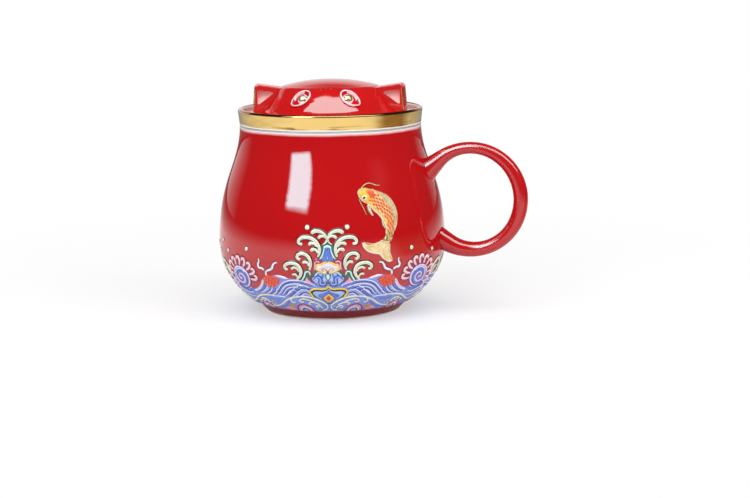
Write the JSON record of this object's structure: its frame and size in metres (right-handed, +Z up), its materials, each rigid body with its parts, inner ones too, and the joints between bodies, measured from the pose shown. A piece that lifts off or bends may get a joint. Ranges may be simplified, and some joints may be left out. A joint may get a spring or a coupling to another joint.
{
  "type": "lidded tea mug with infuser",
  "caption": "Pear-shaped porcelain tea mug with a ring handle, a hanging pierced strainer and a lift-off lid shaped like a cat's head with ears and raised eyes",
  "frame": {"origin": "on the mug's axis, in the plane of the table under the foot ring", "axes": "+Z up along the mug's axis, +X from the axis towards the handle, -Y towards the side the cat's face looks to (it is turned 10 degrees from -Y towards +X)"},
  "size_m": [0.1349, 0.098, 0.0994],
  "materials": {
    "mug_body": "gloss red glaze outside with raised enamel, gloss white glaze inside, bare white rim and foot",
    "handle": "gloss red glaze",
    "infuser": "gloss white glaze, the collar in gold lustre",
    "lid": "gloss red glaze, white underneath, gilded eyes and ear edges"
  },
  "bodies": {
    "mug": {"mug_body": "mug_body", "handle": "handle"},
    "infuser": {"infuser": "infuser"},
    "lid": {"lid": "lid"}
  },
  "joints": [
    {"name": "infuser_lift", "type": "slide", "parent": "mug", "child": "infuser", "axis": [0, 0, 1], "range_m": [0, 0.07]},
    {"name": "lid_lift", "type": "slide", "parent": "infuser", "child": "lid", "axis": [0, 0, 1], "range_m": [0, 0.03]}
  ]
}
